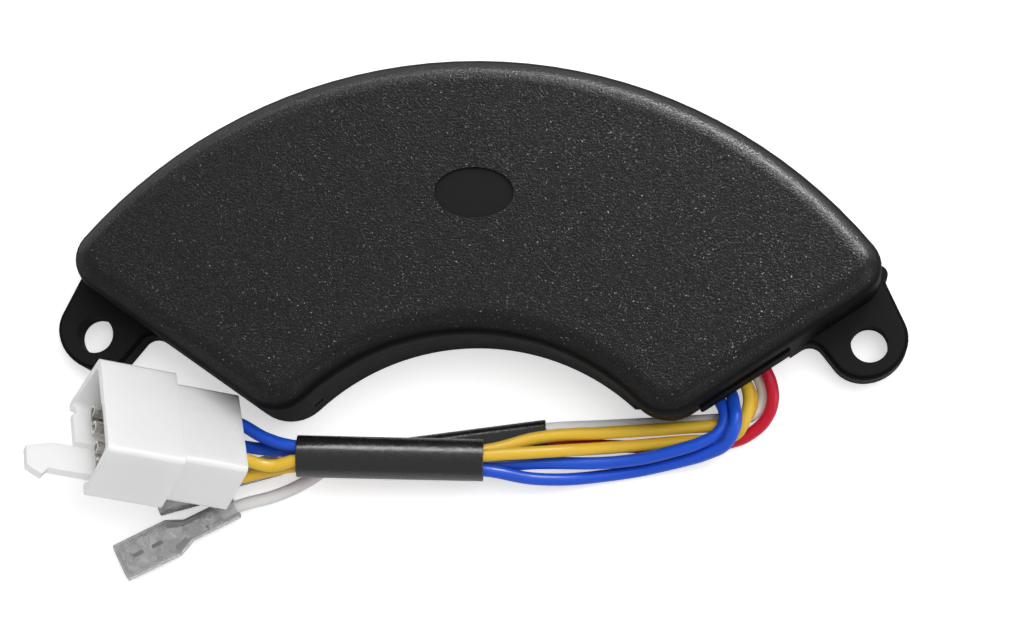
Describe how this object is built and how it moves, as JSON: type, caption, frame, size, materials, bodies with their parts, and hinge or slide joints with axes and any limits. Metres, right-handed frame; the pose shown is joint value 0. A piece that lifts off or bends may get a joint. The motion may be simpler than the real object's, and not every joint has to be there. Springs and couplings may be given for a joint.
{
  "type": "generator voltage regulator",
  "caption": "Potted half-moon automatic voltage regulator with mounting ears, a wire harness in sleeves, a nylon connector and insulated spade terminals.",
  "frame": {"origin": "midway between the two mounting holes, on the flat back of the ears", "axes": "+X along the row of mounting holes towards the wire outlet, +Y towards the outer arc, +Z out of the front face"},
  "size_m": [0.1294, 0.078, 0.0266],
  "materials": {
    "case_plastic": "spark-textured, satin fillets",
    "strip_plastic": "matt",
    "potting_resin": "semi-matt",
    "board_laminate": "satin",
    "moulded_black": "matt",
    "capacitor_sleeve": "gloss",
    "film_resin": "gloss",
    "resistor_ceramic": "matt",
    "solder": "satin",
    "wire_blue": "satin",
    "wire_yellow": "satin",
    "wire_red": "satin",
    "wire_white": "satin",
    "sleeve_pvc": "satin",
    "nylon_white": "satin, slightly translucent",
    "tinned_brass": "satin",
    "clear_pvc": "clear, gloss"
  },
  "bodies": {
    "root": {"case": "case_plastic", "wire_outlet_strip": "strip_plastic", "potting_compound": "potting_resin", "circuit_board": "board_laminate", "bridge_rectifier": "moulded_black", "power_transistor": "moulded_black", "filter_capacitor": "capacitor_sleeve", "film_capacitors": "film_resin", "power_resistors": "resistor_ceramic", "signal_diodes": "moulded_black", "control_chip": "moulded_black", "solder_joints": "solder", "blue_wire_1": "wire_blue", "blue_wire_2": "wire_blue", "yellow_wire_1": "wire_yellow", "yellow_wire_2": "wire_yellow", "red_wire": "wire_red", "white_wire": "wire_white", "harness_sleeve": "sleeve_pvc", "brush_lead_sleeve": "sleeve_pvc", "plug_housing": "nylon_white", "plug_contact_1": "tinned_brass", "plug_contact_2": "tinned_brass", "plug_contact_3": "tinned_brass", "plug_contact_4": "tinned_brass", "red_spade_terminal": "tinned_brass", "white_spade_terminal": "tinned_brass", "red_spade_cover": "clear_pvc", "white_spade_cover": "clear_pvc"}
  },
  "joints": []
}
